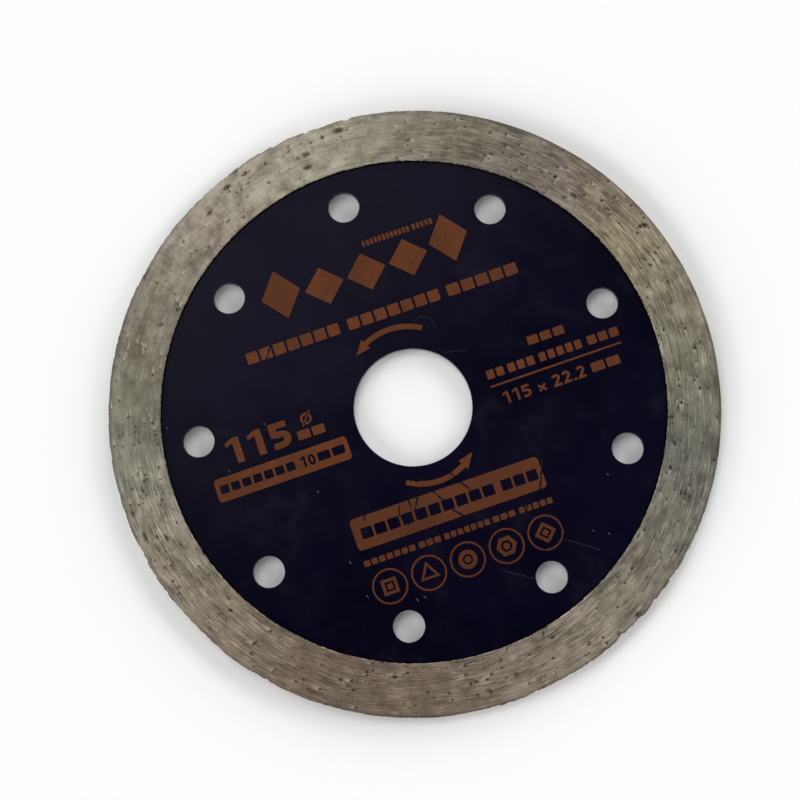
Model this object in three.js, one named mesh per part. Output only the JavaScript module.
// A continuous-rim diamond blade for cutting tile on a small angle grinder.
// Millimetres, +Z along the spindle axis. The origin is the centre of the bore, halfway
// through the thickness, so the blade lies flat with its printed face up.

import * as THREE from 'three';

// Driving dimensions
const BLADE_DIAMETER = 115;
const BORE_DIAMETER = 22.2;
const RIM_HEIGHT = 10; // radial height of the sintered rim that shows on each face
const RIM_THICKNESS = 2.0;
const CORE_THICKNESS = 1.2;
const PAINT_THICKNESS = 0.05;

const COOLING_HOLE_COUNT = 9;
const COOLING_HOLE_DIAMETER = 6;
const COOLING_HOLE_CIRCLE = 81.5; // diameter of the circle through the hole centres

const CORE_EDGE_OVERLAP = 3; // how far the core's edge reaches in under the rim
const BOND_LAYER_HEIGHT = 1; // diamond-free metal between the core's edge and the rim
const KEY_COUNT = 24; // dovetail notches in the core's edge that the bond metal fills
const KEY_DEPTH = 1.8;
const KEY_MOUTH_ANGLE = 3.0; // degrees, at the core's edge
const KEY_FLOOR_ANGLE = 4.4; // degrees, at the bottom of the notch

// How finely round edges are divided
const RING_SEGMENTS = 180;
const BORE_SEGMENTS = 96;
const COOLING_HOLE_SEGMENTS = 32;
const LAND_SEGMENTS = 6; // along the core's edge between two notches

// Radii that follow from the driving dimensions
const RIM_OUTER_RADIUS = BLADE_DIAMETER / 2;
const RIM_INNER_RADIUS = RIM_OUTER_RADIUS - RIM_HEIGHT;
const CORE_RADIUS = RIM_INNER_RADIUS + CORE_EDGE_OVERLAP;
const KEY_FLOOR_RADIUS = CORE_RADIUS - KEY_DEPTH;
const BOND_LAYER_RADIUS = CORE_RADIUS + BOND_LAYER_HEIGHT;

const HALF_CORE = CORE_THICKNESS / 2;
const HALF_RIM = RIM_THICKNESS / 2;
const FULL_TURN = 2 * Math.PI;

// The point at an angle counted anticlockwise from -Y, as a lathe counts it once its
// axis is laid along Z.
function polarPoint(radius, angle) {
  return new THREE.Vector2(radius * Math.sin(angle), -radius * Math.cos(angle));
}

function circlePoints(radius, segments, centre = new THREE.Vector2()) {
  return Array.from({ length: segments }, (_, step) =>
    polarPoint(radius, (step / segments) * FULL_TURN).add(centre));
}

// The core's outer edge: lands on the full radius with a dovetail notch between each two.
// The core and the bond layer share this outline, so one fills the other exactly.
function keyedOutline() {
  const pitch = FULL_TURN / KEY_COUNT;
  const mouth = THREE.MathUtils.degToRad(KEY_MOUTH_ANGLE) / 2;
  const floor = THREE.MathUtils.degToRad(KEY_FLOOR_ANGLE) / 2;
  const points = [];
  for (let key = 0; key < KEY_COUNT; key += 1) {
    const middle = key * pitch;
    points.push(polarPoint(KEY_FLOOR_RADIUS, middle - floor));
    points.push(polarPoint(KEY_FLOOR_RADIUS, middle));
    points.push(polarPoint(KEY_FLOOR_RADIUS, middle + floor));
    const landStart = middle + mouth;
    const landAngle = pitch - 2 * mouth;
    for (let step = 0; step <= LAND_SEGMENTS; step += 1) {
      points.push(polarPoint(CORE_RADIUS, landStart + (landAngle * step) / LAND_SEGMENTS));
    }
  }
  return points;
}

// A flat plate of the given outline and holes, from one height up to another.
function plate(outline, holes, bottom, top) {
  const shape = new THREE.Shape(outline);
  shape.holes = holes.map((points) => new THREE.Path(points));
  const geometry = new THREE.ExtrudeGeometry(shape, {
    depth: top - bottom,
    bevelEnabled: false,
  });
  geometry.translate(0, 0, bottom);
  return geometry;
}

// The bore and the ring of cooling holes, which go through the core and both paint coats.
function throughHoles() {
  const holes = [circlePoints(BORE_DIAMETER / 2, BORE_SEGMENTS)];
  for (let hole = 0; hole < COOLING_HOLE_COUNT; hole += 1) {
    const angle = (hole / COOLING_HOLE_COUNT) * FULL_TURN;
    const centre = polarPoint(COOLING_HOLE_CIRCLE / 2, angle);
    holes.push(circlePoints(COOLING_HOLE_DIAMETER / 2, COOLING_HOLE_SEGMENTS, centre));
  }
  return holes;
}

function steelCoreGeometry() {
  return plate(keyedOutline(), throughHoles(), -HALF_CORE, HALF_CORE);
}

function bondLayerGeometry() {
  const outline = circlePoints(BOND_LAYER_RADIUS, RING_SEGMENTS);
  return plate(outline, [keyedOutline()], -HALF_CORE, HALF_CORE);
}

// The rim is a ring with a groove in its inner side that grips the core's edge, so in
// section it is a U lying on its side.
function diamondRimGeometry() {
  const section = [
    [RIM_INNER_RADIUS, HALF_CORE],
    [BOND_LAYER_RADIUS, HALF_CORE],
    [BOND_LAYER_RADIUS, -HALF_CORE],
    [RIM_INNER_RADIUS, -HALF_CORE],
    [RIM_INNER_RADIUS, -HALF_RIM],
    [RIM_OUTER_RADIUS, -HALF_RIM],
    [RIM_OUTER_RADIUS, HALF_RIM],
    [RIM_INNER_RADIUS, HALF_RIM],
    [RIM_INNER_RADIUS, HALF_CORE],
  ].map(([radius, height]) => new THREE.Vector2(radius, height));
  const geometry = new THREE.LatheGeometry(section, RING_SEGMENTS);
  geometry.rotateX(Math.PI / 2);
  return geometry;
}

// A coat of paint covers a whole face of the core, from the bore out to the rim's step.
function paintGeometry(bottom, top) {
  return plate(circlePoints(RIM_INNER_RADIUS, RING_SEGMENTS), throughHoles(), bottom, top);
}

function part(name, geometry, color, roughness, metalness) {
  const material = new THREE.MeshStandardMaterial({ color, roughness, metalness });
  const mesh = new THREE.Mesh(geometry, material);
  mesh.name = name;
  return mesh;
}

const COAT_TOP = HALF_CORE + PAINT_THICKNESS;

const blade = new THREE.Group();
blade.add(part('steel_core', steelCoreGeometry(), 0x8f8e8a, 0.4, 1));
blade.add(part('bond_layer', bondLayerGeometry(), 0x94774e, 0.5, 1));
blade.add(part('diamond_rim', diamondRimGeometry(), 0x96917d, 0.45, 0.8));
blade.add(part('front_paint', paintGeometry(HALF_CORE, COAT_TOP), 0x0d0b1a, 0.4, 0));
blade.add(part('back_paint', paintGeometry(-COAT_TOP, -HALF_CORE), 0x0d0b1a, 0.4, 0));

export default blade;
